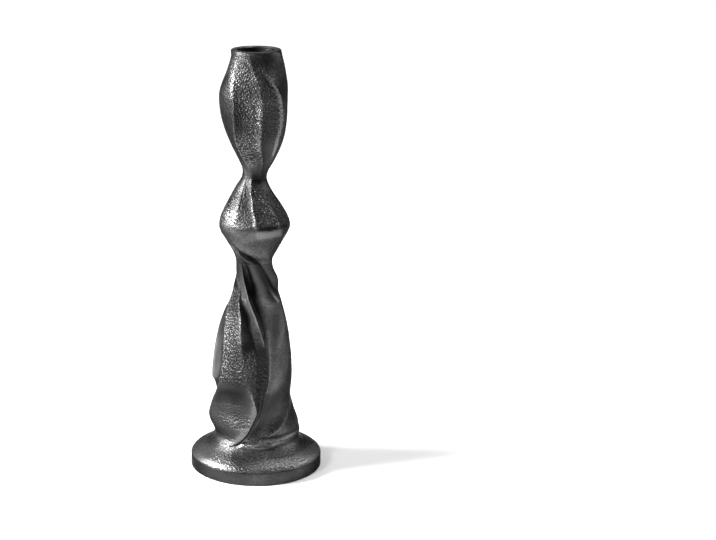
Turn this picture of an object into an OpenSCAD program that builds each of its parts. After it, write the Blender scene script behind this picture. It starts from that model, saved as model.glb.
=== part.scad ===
// Twisted candle holder in sections: cup, knop and skirt castings on a foot disc,
// drawn together by a rod through the middle. Millimetres, +Z up, the origin on
// the table under the middle of the foot, the front of the holder towards -Y.

/* [Heights] */
// Height of the felt pad that shows under the foot disc
felt_show = 0.4; // [0.2:0.1:0.8]
// Thickness of the foot disc
disc_h = 7.6; // [6:0.1:10]
// Height of the skirt casting, from the foot disc to the lower neck
skirt_h = 123; // [100:1:150]
// Height of the knop casting, between the two necks
knop_h = 52; // [42:1:64]
// Height of the cup casting, from the upper neck to the rim
cup_h = 77; // [66:1:95]

/* [Widths] */
// Radius of the rim
rim_r = 14.8; // [13.6:0.1:18]
// Mean radius of the cup where it is widest
cup_r = 20.6; // [17:0.1:25]
// Mean radius of the upper neck, between cup and knop
neck_r = 7.6; // [6.9:0.1:9.5]
// Mean radius of the knop where it is widest
knop_r = 21.5; // [18:0.1:26]
// Mean radius of the lower neck, between knop and skirt
waist_r = 11.3; // [9.8:0.1:14]
// Mean radius of the skirt at half its height
skirt_r = 24.6; // [20.5:0.1:29]
// Mean radius of the lowest folds, above the foot
hem_r = 26.8; // [23:0.1:31]
// Radius of the foot
foot_r = 40.5; // [36:0.5:50]

/* [Candle socket] */
// Diameter of the candle socket, for a 22 mm dinner candle
socket_d = 22; // [20:0.1:24]
// Depth of the candle socket
socket_depth = 25; // [18:1:32]
// Width of the small chamfer at the mouth of the socket
socket_chamfer = 0.6; // [0.3:0.1:1]

/* [Tie rod] */
// Diameter of the tie rod
rod_d = 6; // [5:0.5:7]
// Length of the rod's thread in the cup
rod_grip = 22; // [14:1:28]
// Room left above the rod's end in the cup
rod_end_room = 2; // [1:0.5:4]
// Gap all round the rod where it passes through the knop and skirt
rod_gap = 0.3; // [0.2:0.05:0.5]
// Length of the rod that stands out below the nut
rod_tail = 2.5; // [1:0.5:5]
// Width of the nut across its flats
nut_flats = 10; // [8:0.5:11.5]
// Height of the nut
nut_h = 5; // [4:0.5:6]
// Diameter of the washer
washer_d = 12; // [10:0.5:14]
// Thickness of the washer
washer_h = 1.6; // [1:0.1:2.4]

/* [Core of the skirt] */
// Radius of the core's mouth in the underside of the skirt
core_mouth_r = 10.5; // [9.5:0.1:11.5]
// Radius of the core's end, where the washer seats
core_end_r = 9; // [8.2:0.1:9.4]
// Depth of the core, from the underside of the skirt to the washer's seat
core_depth = 54; // [40:1:66]
// Height of the round register on the foot disc that enters the core
register_h = 2.5; // [1.5:0.1:4]

/* [Dowels] */
// Diameter of the dowel in the upper neck
upper_dowel_d = 2; // [1.5:0.1:2.2]
// Length of the dowel in the upper neck
upper_dowel_l = 5; // [4:0.5:7]
// Diameter of the dowel in the lower neck
lower_dowel_d = 3; // [2:0.1:3.4]
// Length of the dowel in the lower neck
lower_dowel_l = 10; // [7:0.5:13]
// Room beyond each end of a dowel
dowel_end_room = 0.4; // [0.2:0.1:0.8]

/* [Foot screws] */
// Number of countersunk screws that hold the foot disc
screw_count = 3; // [3:1:4]
// Radius of the circle of the screws
screw_circle_r = 24; // [20:0.5:26]
// Diameter of the screw thread
screw_d = 4; // [3:0.5:4.5]
// Diameter of the screw head
screw_head_d = 8; // [6.5:0.5:9]
// Height of the countersunk screw head
screw_head_h = 2.3; // [1.8:0.1:2.8]
// Length of the screw, head included
screw_l = 12; // [10:0.5:14]
// Width across the flats of the screw's key socket
screw_key = 2.5; // [2:0.1:3]
// Depth of the screw's key socket
screw_key_depth = 1.2; // [0.8:0.1:1.6]
// Gap round the screw in the foot disc
screw_gap = 0.25; // [0.15:0.05:0.4]

/* [Felt pad] */
// Radius of the felt pad
felt_r = 35; // [30:0.5:37.5]
// Thickness of the felt pad
felt_h = 2; // [1.4:0.1:2.6]
// Gap between the pad and the wall of its recess
felt_gap = 0.3; // [0.1:0.1:0.6]

/* [Fits] */
// Gap between a thread and its tapped hole, and round a dowel or register
fit_gap = 0.05; // [0.03:0.01:0.08]

/* [Hidden] */

// A level of 0 is the underside of the skirt, 1 the lower neck, 2 the upper neck and 3 the rim
disc_top = felt_show + disc_h;
waist_z = disc_top + skirt_h;
neck_z = waist_z + knop_h;
rim_z = neck_z + cup_h;
core_end_z = disc_top + core_depth;
rod_hole_r = rod_d / 2 + rod_gap;

// The pad's recess is as deep as the pad is thick, and the screw heads lie flush with its ceiling
recess_z = felt_h;
screw_top_z = recess_z + screw_l;

// Dowels stand to the left of the rod, about midway through the wall of the neck
upper_dowel_share = 0.48;
lower_dowel_share = 0.55;
upper_dowel_x = -blend(rod_hole_r, neck_r, upper_dowel_share);
lower_dowel_x = -blend(rod_hole_r, waist_r, lower_dowel_share);

// Overrun of each cut, and room beyond the tip of a foot screw
cut = 1;
screw_room = 1;
// Facets of a full turn for round pieces
round_fn = 96;
// Points on each of the panels between two folds
panel_points = 4;

metal = [0.2, 0.2, 0.21];
steel = [0.62, 0.63, 0.65];
felt = [0.09, 0.09, 0.1];

function blend(low, high, share) = low + (high - low) * share;

// Named radii from the foot up. A share of 2.35 is 0.35 of the way from the third of them to the fourth
widths = [foot_r, hem_r, skirt_r, waist_r, knop_r, neck_r, cup_r, rim_r];

// Mean radius, each as [level, share of the way through the named radii]
profile_shares = [
    [0, 0], [0.012, 0.045], [0.03, 0.2], [0.064, 0.65], [0.095, 0.92], [0.12, 1], [0.18, 1],
    [0.24, 1.55], [0.32, 1.95], [0.45, 2], [0.59, 2.15], [0.7, 2.35], [0.8, 2.63], [0.85, 2.84],
    [0.9, 2.92], [1, 3], [1.13, 3.22], [1.25, 3.56], [1.36, 3.89], [1.44, 4], [1.53, 4.06],
    [1.65, 4.28], [1.85, 4.74], [1.99, 5], [2.05, 5.02], [2.13, 5.23], [2.29, 5.66], [2.45, 5.92],
    [2.6, 6], [2.72, 6.1], [2.84, 6.48], [2.95, 6.86], [2.985, 6.94], [3, 7],
];
profile = [
    for (row = profile_shares)
        let (k = min(floor(row[1]), len(widths) - 2))
        [row[0], blend(widths[k], widths[k + 1], row[1] - k)]
];

// The sharp folds, each as [level, angle from the front, share of the mean radius]
fold_shares = [
    // Strip at the left of the skirt
    [[0, -130, 1], [0.03, -129, 0.97], [0.07, -127, 0.92], [0.12, -125, 0.98], [0.22, -104, 0.98],
     [0.32, -92, 0.99], [0.375, -87, 1.04], [0.41, -84, 1.11], [0.5, -86, 1.11], [0.65, -94, 1.1],
     [0.75, -104, 1.06], [0.8, -112, 1], [0.9, -130, 1], [1, -158, 1], [1.1, -180, 1], [1.3, -195, 1],
     [1.5, -205, 1], [1.7, -212, 1], [2, -222, 1], [2.3, -228, 1], [2.5, -228, 0.96],
     [2.66, -232, 0.97], [2.84, -250, 1], [3, -265, 1]],
    // Edge at the left, down to the knob
    [[0, -95, 1], [0.07, -93, 0.97], [0.12, -92, 0.96], [0.17, -84, 1.05], [0.22, -79, 1.15],
     [0.27, -74, 1.17], [0.315, -70, 1.15], [0.345, -68, 1.1], [0.385, -66, 1.04], [0.456, -62, 1],
     [0.533, -62, 0.98], [0.66, -65, 1.02], [0.75, -70, 1.05], [0.8, -74, 1.07], [0.855, -80, 1.1],
     [0.9, -96, 1.06], [1, -124, 1], [1.1, -146, 1], [1.3, -163, 1], [1.5, -172, 1], [1.7, -178, 1],
     [2, -188, 1], [2.3, -195, 1], [2.5, -195, 1], [2.66, -198, 1], [2.84, -218, 1], [3, -235, 1]],
    // Right edge of the front face, then the hem of the apron
    [[0, -58, 1], [0.085, -37, 1], [0.1, -30, 1.03], [0.125, -20.5, 1.05], [0.152, -14, 1.06],
     [0.182, -9, 1.06], [0.216, -5.2, 1.06], [0.245, -1.6, 1.065], [0.278, 1, 1.065],
     [0.305, -0.5, 1.04], [0.354, -5, 1], [0.417, -12, 0.965], [0.491, -18.5, 0.95],
     [0.564, -22.5, 0.96], [0.628, -25.2, 0.99], [0.677, -26.5, 1.02], [0.734, -29, 1.01],
     [0.784, -38, 0.96], [0.82, -45, 0.96], [0.87, -53, 1.01], [0.91, -66, 1.04], [1, -90, 1.08],
     [1.1, -112, 1.05], [1.3, -130, 1], [1.5, -138, 1], [1.7, -145, 1], [2, -156, 1.05],
     [2.3, -165, 1], [2.5, -165, 1.03], [2.66, -168, 1.03], [2.84, -188, 1], [3, -205, 1]],
    // Crease at the left of the ribbon
    [[0, -40, 1], [0.085, -33, 1], [0.1, -27, 1.005], [0.125, -19.2, 1.005], [0.152, -12.8, 1],
     [0.182, -7.9, 1], [0.216, -3.9, 1], [0.245, -0.4, 1.005], [0.278, 2.4, 1.005], [0.305, 2.4, 1],
     [0.35, 1, 0.98], [0.4, -0.5, 0.955], [0.45, 0, 0.94], [0.5, 1, 0.915], [0.551, 1.5, 0.855],
     [0.604, -2.5, 0.76], [0.65, -9.5, 0.715], [0.696, -18.5, 0.7], [0.743, -26, 0.72],
     [0.784, -33, 0.79], [0.82, -39, 0.87], [0.86, -44, 0.94], [0.906, -50, 1], [0.95, -58, 1.05],
     [1, -70, 1.08], [1.1, -94, 1.05], [1.3, -114, 1], [1.5, -122, 1], [1.7, -128, 1], [2, -140, 1.02],
     [2.3, -150, 1], [2.5, -150, 1], [2.66, -152, 1], [2.84, -172, 1], [3, -188, 1]],
    // Narrow ribbon that winds down the front
    [[0, -22, 1], [0.085, -29, 1], [0.1, -24, 0.995], [0.125, -17.6, 0.97], [0.152, -11.6, 0.96],
     [0.182, -6.9, 0.96], [0.216, -2.6, 0.965], [0.245, 1, 0.97], [0.278, 4.2, 0.97],
     [0.305, 5.4, 0.965], [0.345, 8.4, 0.945], [0.404, 13.8, 0.905], [0.478, 17.8, 0.865],
     [0.553, 18.3, 0.83], [0.605, 16.8, 0.8], [0.646, 13, 0.8], [0.695, 6.6, 0.8], [0.75, -2.4, 0.83],
     [0.8, -13, 0.88], [0.848, -23, 0.96], [0.896, -31.5, 1.02], [0.946, -38.5, 1.08],
     [1, -43.5, 1.14], [1.08, -52, 1.12], [1.15, -74, 1.06], [1.3, -98, 1.03], [1.5, -106, 1.02],
     [1.7, -112, 1.07], [1.85, -118, 1.13], [2, -124, 1.14], [2.3, -134, 1], [2.5, -134, 1.05],
     [2.66, -137, 1.05], [2.84, -156, 1], [3, -172, 1]],
    // Foot of the drop beside the ribbon, then the left edge of the wide right fold
    [[0, 0, 1], [0.074, -19.5, 0.99], [0.088, -19, 1], [0.1, -18, 1.025], [0.111, -17, 1.015],
     [0.121, -15, 0.955], [0.134, -11.8, 0.965], [0.164, -6.4, 0.96], [0.2, -1.2, 0.965],
     [0.24, 3.8, 0.97], [0.28, 7.5, 0.97], [0.337, 12, 0.955], [0.386, 17, 0.93], [0.445, 20.5, 0.905],
     [0.5, 22, 0.885], [0.55, 22.6, 0.865], [0.605, 22.3, 0.83], [0.645, 21, 0.78], [0.69, 18, 0.7],
     [0.74, 11.5, 0.62], [0.79, 1, 0.56], [0.838, -13, 0.54], [0.884, -24, 0.56], [0.935, -31, 0.68],
     [0.99, -37, 0.86], [1.04, -41.5, 1.04], [1.1, -50, 1.1], [1.2, -72, 1.06], [1.3, -90, 1.05],
     [1.4, -92, 1.05], [1.5, -94, 1.04], [1.7, -94, 1.1], [1.85, -95, 1.2], [1.93, -95, 1.24],
     [2, -96, 1.17], [2.07, -100, 1], [2.13, -104, 0.95], [2.3, -104, 1], [2.5, -104, 1.07],
     [2.66, -106, 1.08], [2.84, -124, 0.98], [3, -140, 1]],
    // Crease under the knop, then the right edge of the wide right fold
    [[0, 28, 1], [0.074, 9, 0.99], [0.088, 6, 1], [0.1, 4, 1.03], [0.111, 2, 1.02], [0.121, 2, 0.95],
     [0.13, 2, 0.92], [0.16, 4.5, 0.915], [0.196, 10, 0.92], [0.236, 16, 0.935], [0.273, 22, 0.945],
     [0.324, 32, 0.94], [0.394, 44, 0.935], [0.463, 56, 0.93], [0.54, 66, 0.935], [0.62, 75, 0.94],
     [0.7, 83, 0.94], [0.78, 88, 0.95], [0.83, 84, 0.95], [0.868, 73, 0.86], [0.9, 61, 0.82],
     [0.937, 45.6, 0.82], [0.977, 27, 0.84], [1.011, 11.6, 0.84], [1.06, -5, 0.83], [1.1, -24, 0.83],
     [1.13, -38, 0.87], [1.166, -49, 0.93], [1.2, -57, 0.97], [1.24, -62, 1], [1.3, -62, 1.02],
     [1.4, -50, 1.01], [1.5, -40, 1.01], [1.6, -37, 1.02], [1.7, -39, 1.05], [1.8, -43, 1.07],
     [1.9, -48, 1.1], [2, -54, 1.08], [2.07, -64, 0.98], [2.15, -72, 0.97], [2.3, -74, 1],
     [2.5, -72, 1.07], [2.66, -74, 1.09], [2.84, -90, 0.97], [2.95, -100, 0.94], [3, -105, 1]],
    // Left ridge of the cup, front ridge of the knop, back lobe, lowest front crest
    [[0, 62, 1], [0.084, 35, 0.99], [0.1, 33, 1], [0.113, 30, 1.03], [0.125, 26, 1.02],
     [0.135, 20, 0.945], [0.146, 17, 0.97], [0.161, 24, 0.98], [0.183, 34, 0.975], [0.207, 46, 0.96],
     [0.245, 58, 0.925], [0.28, 66, 0.9], [0.32, 74, 0.885], [0.38, 82, 0.9], [0.46, 93, 0.9],
     [0.6, 104, 0.92], [0.72, 109, 0.95], [0.8, 107, 0.98], [0.84, 102, 1.02], [0.88, 94, 1.09],
     [0.924, 84, 1.1], [0.975, 70, 0.98], [1.04, 52, 0.96], [1.1, 32, 1], [1.2, 14, 1], [1.3, 6, 1],
     [1.44, 2, 1.01], [1.5, 1, 1.05], [1.59, -1.6, 1.08], [1.69, -5.5, 1.09], [1.8, -10, 1.1],
     [1.87, -15.5, 1.1], [1.95, -19, 1.06], [2, -20, 1.02], [2.04, -21.5, 0.99], [2.08, -24, 1],
     [2.16, -33, 1.08], [2.24, -39, 1.09], [2.33, -41, 1.08], [2.49, -37, 1.08], [2.68, -37, 1.09],
     [2.88, -46.5, 1.02], [2.95, -54, 0.98], [3, -60, 1]],
    // Middle ridge of the cup
    [[0, 98, 1], [0.03, 92, 0.98], [0.07, 84, 0.94], [0.095, 81, 0.97], [0.115, 79, 1.02],
     [0.13, 78, 1.04], [0.143, 78, 1.01], [0.16, 80, 1], [0.2, 88, 0.955], [0.25, 96, 0.91],
     [0.3, 104, 0.885], [0.4, 122, 0.92], [0.6, 130, 0.95], [0.8, 132, 1], [0.9, 124, 0.97],
     [1, 104, 0.87], [1.1, 82, 0.92], [1.2, 66, 0.98], [1.33, 56, 0.98], [1.44, 44, 1],
     [1.5, 40, 1.03], [1.56, 38, 1.04], [1.7, 33, 1.02], [1.8, 30.5, 0.98], [1.9, 27, 0.95],
     [2, 24, 0.93], [2.08, 22, 1], [2.16, 18, 1.06], [2.25, 10.6, 1.07], [2.34, 8.9, 1.06],
     [2.56, 9.8, 1.05], [2.72, 8.2, 1.05], [2.8, 3.4, 1.05], [2.88, -5.7, 1.03], [2.95, -12.6, 1.01],
     [3, -17.6, 1]],
    // Right ridge of the cup
    [[0, 140, 1], [0.03, 132, 0.95], [0.07, 120, 0.88], [0.1, 113, 0.94], [0.12, 111, 1],
     [0.14, 112, 1.03], [0.25, 135, 0.99], [0.4, 158, 1], [0.6, 165, 1], [0.8, 162, 1], [0.9, 152, 1],
     [1, 134, 0.93], [1.1, 116, 0.95], [1.3, 94, 0.95], [1.5, 80, 0.97], [1.7, 70, 0.94],
     [1.9, 60, 0.88], [2.03, 53, 0.94], [2.13, 52.6, 1.04], [2.22, 49.7, 1.08], [2.32, 48.3, 1.08],
     [2.46, 51.7, 1.05], [2.56, 49.8, 1.03], [2.66, 44.6, 1.04], [2.74, 35.7, 1.05],
     [2.84, 22.8, 1.03], [3, 12, 1]],
    // Back ridge
    [[0, 186, 1], [0.03, 178, 0.96], [0.07, 166, 0.9], [0.12, 152, 0.99], [0.25, 178, 1],
     [0.4, 196, 1], [0.6, 202, 1], [0.8, 197, 1], [0.9, 185, 1], [1, 165, 0.95], [1.1, 150, 0.95],
     [1.3, 130, 0.96], [1.5, 116, 0.96], [1.7, 108, 0.9], [1.9, 100, 0.82], [2, 96, 0.86],
     [2.13, 94, 1.05], [2.3, 92, 1.01], [2.5, 94, 0.94], [2.66, 88, 0.93], [2.84, 74, 1.02],
     [2.95, 66, 1.05], [3, 62, 1]],
];

// The panels between neighbouring folds, each as [level, place between the folds, hollow]
panel_shares = [
    // Behind the left strip
    [[0, 0.5, 0], [0.1, 0.5, 0], [0.12, 0.5, 0.02], [0.25, 0.4, 0.12], [0.36, 0.5, 0.18],
     [0.45, 0.6, 0.18], [0.55, 0.6, 0.16], [0.7, 0.6, 0.14], [0.85, 0.5, 0.1], [1, 0.5, 0.06],
     [1.5, 0.5, 0.04], [2, 0.5, 0], [2.2, 0.5, 0.06], [2.6, 0.4, 0.1], [2.9, 0.5, 0.03], [3, 0.5, 0]],
    // Front face of the skirt, then the apron
    [[0, 0.5, 0], [0.1, 0.5, 0], [0.13, 0.45, 0.06], [0.18, 0.35, 0.1], [0.24, 0.18, 0.22],
     [0.275, 0.14, 0.3], [0.31, 0.12, 0.34], [0.345, 0.14, 0.28], [0.38, 0.2, 0.14],
     [0.43, 0.32, 0.06], [0.5, 0.4, 0.02], [0.6, 0.35, 0.08], [0.7, 0.32, 0.14], [0.8, 0.4, 0.12],
     [0.87, 0.5, 0.08], [1, 0.5, 0.06], [1.5, 0.5, 0.04], [2, 0.5, 0], [2.2, 0.5, 0.06],
     [2.6, 0.4, 0.1], [2.9, 0.5, 0.03], [3, 0.5, 0]],
    // Wall right of the face, then the gap under the hem
    [[0, 0.5, 0], [0.1, 0.5, 0], [0.15, 0.5, 0.02], [0.25, 0.5, 0.02], [0.3, 0.5, 0],
     [0.36, 0.5, -0.01], [0.48, 0.5, 0], [0.54, 0.4, 0.04], [0.6, 0.35, 0.08], [0.65, 0.3, 0.1],
     [0.72, 0.3, 0.08], [0.78, 0.5, 0.04], [0.86, 0.5, 0.03], [1, 0.5, 0.03], [1.5, 0.5, 0.02],
     [2, 0.5, 0], [2.2, 0.5, 0.04], [2.6, 0.4, 0.06], [2.9, 0.5, 0.02], [3, 0.5, 0]],
    // The ribbon, then the slope to the valley
    [[0, 0.5, 0], [0.2, 0.5, 0], [0.32, 0.5, 0.02], [0.4, 0.5, 0.04], [0.5, 0.5, 0.02], [0.6, 0.5, 0],
     [0.8, 0.5, 0], [0.95, 0.5, 0.02], [1.1, 0.5, 0.03], [1.5, 0.5, 0.02], [2, 0.5, 0],
     [2.2, 0.5, 0.04], [2.6, 0.4, 0.06], [2.9, 0.5, 0.02], [3, 0.5, 0]],
    // Drop right of the ribbon, then the rise to the right fold
    [[0, 0.5, 0], [0.1, 0.5, 0], [0.2, 0.5, 0.02], [0.3, 0.5, 0.02], [0.4, 0.6, 0.03],
     [0.54, 0.6, 0.02], [0.62, 0.5, 0.02], [0.68, 0.5, 0.03], [0.75, 0.3, 0.05], [0.82, 0, 0.1],
     [0.88, -0.3, 0.18], [0.94, -0.4, 0.2], [0.985, 0, 0.12], [1.02, 0.3, 0.05], [1.1, 0.5, 0.03],
     [1.5, 0.5, 0.04], [2, 0.5, 0], [2.2, 0.5, 0.06], [2.6, 0.4, 0.1], [2.9, 0.5, 0.03], [3, 0.5, 0]],
    // Band under the crease, then the wide right fold
    [[0, 0.5, 0], [0.1, 0.5, 0], [0.14, 0.5, 0.02], [0.2, 0.5, 0.06], [0.24, 0.5, 0],
     [0.28, 0.3, -0.04], [0.34, 0.18, -0.08], [0.4, 0.14, -0.11], [0.46, 0.14, -0.12],
     [0.55, 0.18, -0.15], [0.6, 0.25, -0.18], [0.645, 0.35, -0.24], [0.69, 0.45, -0.33],
     [0.74, 0.5, -0.42], [0.8, 0.52, -0.53], [0.87, 0.52, -0.56], [0.935, 0.5, -0.42],
     [0.99, 0.5, -0.3], [1.04, 0.5, -0.26], [1.1, 0.5, -0.19], [1.166, 0.5, -0.09], [1.24, 0.5, -0.03],
     [1.3, 0.5, -0.01], [1.5, 0.5, -0.01], [1.8, 0.5, -0.01], [2, 0.5, 0.03], [2.2, 0.5, 0.03],
     [2.6, 0.5, 0.04], [3, 0.5, 0]],
    // Left face of the cup and knop, then the flank right of the right fold
    [[0, 0.5, 0], [0.11, 0.5, 0], [0.15, 0.5, 0.03], [0.22, 0.5, 0.04], [0.3, 0.5, 0.03],
     [0.36, 0.5, 0.02], [0.45, 0.5, 0], [0.55, 0.5, 0], [0.7, 0.5, 0.02], [0.84, 0.5, 0.02],
     [0.88, 0.5, -0.02], [0.924, 0.4, -0.05], [0.975, 0.35, -0.08], [1.04, 0.35, -0.1],
     [1.1, 0.35, -0.16], [1.166, 0.35, -0.14], [1.24, 0.4, -0.05], [1.32, 0.5, -0.01], [1.45, 0.5, 0],
     [1.52, 0.6, 0.1], [1.6, 0.6, 0.2], [1.8, 0.58, 0.2], [1.95, 0.6, 0.14], [2.05, 0.6, 0.08],
     [2.2, 0.5, 0.05], [2.5, 0.5, 0.03], [2.7, 0.5, 0.02], [2.9, 0.5, 0], [3, 0.5, 0]],
    // Hollow right of the cup's left ridge
    [[0, 0.5, 0], [0.105, 0.5, 0], [0.14, 0.5, 0.06], [0.2, 0.4, 0.1], [0.28, 0.45, 0.07],
     [0.35, 0.5, 0.05], [0.6, 0.5, 0.06], [0.8, 0.5, 0.12], [1, 0.5, 0.06], [1.3, 0.5, 0.01],
     [1.455, 0.5, 0.04], [1.49, 0.4, 0.16], [1.53, 0.4, 0.19], [1.7, 0.35, 0.17], [1.85, 0.3, 0.15],
     [1.96, 0.3, 0.14], [2.04, 0.35, 0.14], [2.12, 0.2, 0.3], [2.25, 0.14, 0.32], [2.45, 0.1, 0.3],
     [2.6, 0.1, 0.25], [2.75, 0.15, 0.17], [2.85, 0.3, 0.1], [2.93, 0.4, 0.03], [3, 0.5, 0]],
    // Dark panel of the cup
    [[0, 0.5, 0], [0.1, 0.5, 0], [0.12, 0.5, 0.02], [0.2, 0.5, 0.1], [0.3, 0.5, 0.1], [0.4, 0.5, 0.25],
     [0.6, 0.5, 0.25], [0.8, 0.5, 0.15], [1, 0.5, 0.06], [1.455, 0.5, 0.04], [1.53, 0.5, 0.14],
     [1.7, 0.5, 0.1], [2, 0.5, 0.04], [2.08, 0.5, 0.12], [2.2, 0.5, 0.22], [2.4, 0.4, 0.24],
     [2.6, 0.4, 0.2], [2.8, 0.45, 0.14], [2.93, 0.5, 0.05], [3, 0.5, 0]],
    // Strip right of the cup's right ridge
    [[0, 0.5, 0], [0.1, 0.5, 0], [0.12, 0.5, 0.02], [0.18, 0.5, 0.1], [0.3, 0.5, 0.2],
     [0.6, 0.5, 0.25], [0.85, 0.5, 0.2], [1, 0.5, 0.08], [1.5, 0.5, 0.04], [2, 0.5, 0],
     [2.2, 0.5, 0.13], [2.4, 0.45, 0.18], [2.6, 0.4, 0.18], [2.75, 0.4, 0.16], [2.9, 0.5, 0.06],
     [3, 0.5, 0]],
    // Back
    [[0, 0.5, 0], [0.1, 0.5, 0], [0.12, 0.5, 0.02], [0.18, 0.5, 0.1], [0.3, 0.5, 0.2],
     [0.6, 0.5, 0.25], [0.85, 0.5, 0.2], [1, 0.5, 0.08], [1.5, 0.5, 0.04], [2, 0.5, 0],
     [2.2, 0.5, 0.06], [2.6, 0.4, 0.1], [2.9, 0.5, 0.03], [3, 0.5, 0]],
];

// Levels of the rings of points on each casting
cup_ring_shares = [for (step = [0:25]) blend(2, 3, step / 25)];
knop_ring_shares = [for (step = [0:21]) blend(1, 2, step / 21)];
skirt_ring_shares = [
    for (step = [0:11]) blend(0, 0.13, step / 12),
    for (step = [0:34]) blend(0.13, 1, step / 34)
];

// Smooth curve through the rows of a table, read in one of its columns
function slope(table, row, column) =
    let (low = max(row - 1, 0), high = min(row + 1, len(table) - 1))
    (table[high][column] - table[low][column]) / (table[high][0] - table[low][0]);

function curve(table, level, column) =
    let (
        row = max([0, for (k = [0:len(table) - 2]) if (level >= table[k][0]) k]),
        span = table[row + 1][0] - table[row][0],
        t = (level - table[row][0]) / span,
        low_slope = slope(table, row, column) * span,
        high_slope = slope(table, row + 1, column) * span
    )
    (2 * t - 3) * t * t * (table[row][column] - table[row + 1][column]) + table[row][column]
    + (t - 1) * (t - 1) * t * low_slope + (t - 1) * t * t * high_slope;

function level_z(level) =
    level < 1 ? blend(disc_top, waist_z, level)
    : level < 2 ? blend(waist_z, neck_z, level - 1)
    : blend(neck_z, rim_z, level - 2);

function polar(angle, radius) = [radius * sin(angle), -radius * cos(angle)];

// One panel: an arc from fold k towards fold k + 1, drawn in by its hollow
function panel(level, k) =
    let (
        last = k == len(fold_shares) - 1,
        next = last ? 0 : k + 1,
        start = [curve(fold_shares[k], level, 1), curve(fold_shares[k], level, 2)],
        end = [curve(fold_shares[next], level, 1) + (last ? 360 : 0), curve(fold_shares[next], level, 2)],
        place = curve(panel_shares[k], level, 1),
        hollow = curve(panel_shares[k], level, 2),
        weight = cos((end[0] - start[0]) / 2),
        middle = polar(
            blend(start[0], end[0], place),
            blend(start[1], end[1], min(max(place, 0), 1)) / weight - hollow
        )
    )
    [for (step = [0:panel_points - 1])
        let (t = step / panel_points, low = pow(1 - t, 2), mid = 2 * t * (1 - t) * weight, high = t * t)
        (low * polar(start[0], start[1]) + mid * middle + high * polar(end[0], end[1]))
            / (low + mid + high)];

function ring(level) =
    let (mean = curve(profile, level, 1), z = level_z(level))
    [for (k = [0:len(fold_shares) - 1]) for (spot = panel(level, k)) [mean * spot[0], mean * spot[1], z]];

// A closed solid through the rings of a casting
module folded_body(levels) {
    around = len(fold_shares) * panel_points;
    top = len(levels) - 1;
    low_middle = around * len(levels);
    high_middle = low_middle + 1;
    polyhedron(
        points = [
            for (level = levels) each ring(level),
            [0, 0, level_z(levels[0])],
            [0, 0, level_z(levels[top])]
        ],
        faces = [
            for (k = [0:around - 1]) [low_middle, k, (k + 1) % around],
            for (row = [0:top - 1]) for (k = [0:around - 1])
                let (
                    a = row * around + k,
                    b = row * around + (k + 1) % around
                )
                each [[a, a + around, b], [b, a + around, b + around]],
            for (k = [0:around - 1]) [high_middle, top * around + (k + 1) % around, top * around + k],
        ],
        convexity = 10
    );
}

module rod_hole(low, high) {
    translate([0, 0, low]) cylinder(r = rod_hole_r, h = high - low, $fn = round_fn);
}

module dowel(x, z, diameter, length) {
    translate([x, 0, z - length / 2]) cylinder(d = diameter, h = length, $fn = round_fn);
}

module dowel_hole(x, z, diameter, length) {
    dowel(x, z, diameter + 2 * fit_gap, length + 2 * dowel_end_room);
}

module cup() {
    color(metal) difference() {
        folded_body(cup_ring_shares);
        translate([0, 0, rim_z - socket_depth])
            cylinder(d = socket_d, h = socket_depth + cut, $fn = round_fn);
        translate([0, 0, rim_z - socket_chamfer])
            cylinder(
                d1 = socket_d, d2 = socket_d + 2 * (socket_chamfer + cut),
                h = socket_chamfer + cut, $fn = round_fn
            );
        translate([0, 0, neck_z - cut])
            cylinder(d = rod_d + 2 * fit_gap, h = rod_grip + rod_end_room + cut, $fn = round_fn);
        dowel_hole(upper_dowel_x, neck_z, upper_dowel_d, upper_dowel_l);
    }
}

module knop() {
    color(metal) difference() {
        folded_body(knop_ring_shares);
        rod_hole(waist_z - cut, neck_z + cut);
        dowel_hole(upper_dowel_x, neck_z, upper_dowel_d, upper_dowel_l);
        dowel_hole(lower_dowel_x, waist_z, lower_dowel_d, lower_dowel_l);
    }
}

module skirt() {
    color(metal) difference() {
        folded_body(skirt_ring_shares);
        rod_hole(core_end_z - cut, waist_z + cut);
        dowel_hole(lower_dowel_x, waist_z, lower_dowel_d, lower_dowel_l);
        translate([0, 0, disc_top - cut])
            cylinder(
                r1 = core_mouth_r + (core_mouth_r - core_end_r) / core_depth * cut,
                r2 = core_end_r, h = core_depth + cut, $fn = round_fn
            );
        foot_screw_places()
            translate([0, 0, disc_top - cut])
                cylinder(
                    d = screw_d + 2 * fit_gap,
                    h = screw_top_z + screw_room - disc_top + cut, $fn = round_fn
                );
    }
}

module foot_screw_places() {
    for (k = [0:screw_count - 1])
        rotate([0, 0, 90 + 360 * k / screw_count]) translate([screw_circle_r, 0, 0]) children();
}

module foot_disc() {
    color(metal) difference() {
        union() {
            translate([0, 0, felt_show]) cylinder(r = foot_r, h = disc_h, $fn = round_fn);
            cylinder(r = core_mouth_r - 2 * fit_gap, h = disc_top + register_h, $fn = round_fn);
        }
        translate([0, 0, -cut]) cylinder(r = felt_r + felt_gap, h = recess_z + cut, $fn = round_fn);
        foot_screw_places() {
            cylinder(d = screw_d + 2 * screw_gap, h = disc_top + cut, $fn = round_fn);
            translate([0, 0, recess_z])
                cylinder(
                    d1 = screw_head_d + 2 * screw_gap, d2 = screw_d + 2 * screw_gap,
                    h = screw_head_h, $fn = round_fn
                );
        }
    }
}

module tie_rod() {
    low = core_end_z - washer_h - nut_h - rod_tail;
    color(steel) translate([0, 0, low]) cylinder(d = rod_d, h = neck_z + rod_grip - low, $fn = round_fn);
}

module tie_washer() {
    color(steel) translate([0, 0, core_end_z - washer_h]) difference() {
        cylinder(d = washer_d, h = washer_h, $fn = round_fn);
        translate([0, 0, -cut]) cylinder(r = rod_hole_r, h = washer_h + 2 * cut, $fn = round_fn);
    }
}

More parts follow.
